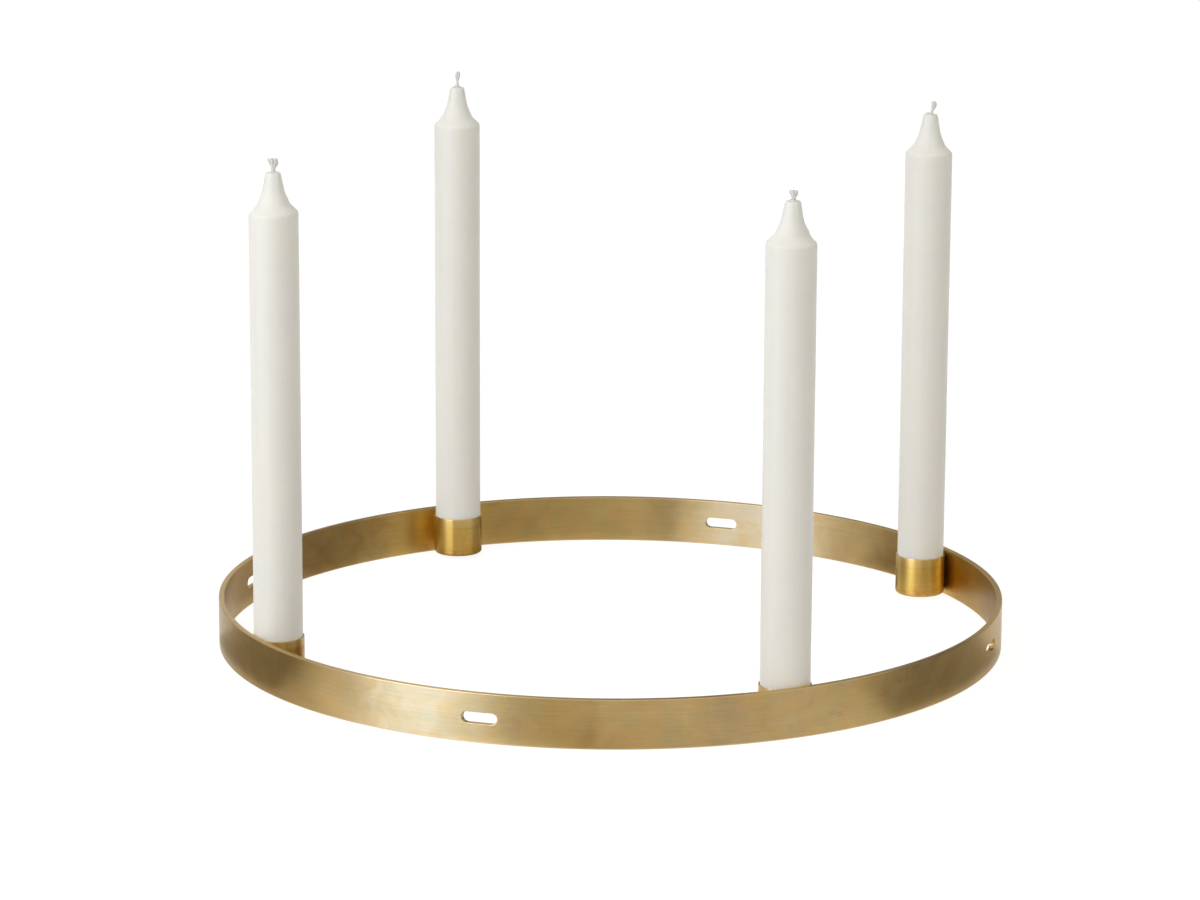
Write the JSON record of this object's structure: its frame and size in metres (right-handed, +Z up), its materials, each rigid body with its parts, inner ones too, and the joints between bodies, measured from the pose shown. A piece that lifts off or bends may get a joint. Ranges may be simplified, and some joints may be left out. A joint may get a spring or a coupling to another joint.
{
  "type": "advent candle holder",
  "caption": "Low brass ring on edge with small cups brazed inside it, each holding a tall tapered candle that lifts out; ribbon slots through the band.",
  "frame": {"origin": "centre of the ring on the plane that it stands on", "axes": "+Z up through the ring's centre; -Y is the front; the cups stand on the diagonals and the ribbon slots on the X and Y axes"},
  "size_m": [0.36, 0.36, 0.2405],
  "materials": {
    "band_brass": "brushed along the band, unlacquered, faintly patinated",
    "cup_brass": "turned, satin",
    "braze": "filed flush",
    "wax": "smooth candle wax, faintly translucent",
    "wick": "braided cotton, dipped in wax"
  },
  "bodies": {
    "holder": {"ring_band": "band_brass", "ring_seam": "braze", "cup_front_left": "cup_brass", "cup_back_left": "cup_brass", "cup_back_right": "cup_brass", "cup_front_right": "cup_brass", "braze_front_left": "braze", "braze_back_left": "braze", "braze_back_right": "braze", "braze_front_right": "braze"},
    "candle_front_left": {"candle_front_left": "wax", "wick_front_left": "wick"},
    "candle_back_left": {"candle_back_left": "wax", "wick_back_left": "wick"},
    "candle_back_right": {"candle_back_right": "wax", "wick_back_right": "wick"},
    "candle_front_right": {"candle_front_right": "wax", "wick_front_right": "wick"}
  },
  "joints": [
    {"name": "candle_front_left_lift", "type": "slide", "parent": "holder", "child": "candle_front_left", "axis": [0, 0, 1], "range_m": [0, 0.06]},
    {"name": "candle_back_left_lift", "type": "slide", "parent": "holder", "child": "candle_back_left", "axis": [0, 0, 1], "range_m": [0, 0.06]},
    {"name": "candle_back_right_lift", "type": "slide", "parent": "holder", "child": "candle_back_right", "axis": [0, 0, 1], "range_m": [0, 0.06]},
    {"name": "candle_front_right_lift", "type": "slide", "parent": "holder", "child": "candle_front_right", "axis": [0, 0, 1], "range_m": [0, 0.06]}
  ]
}
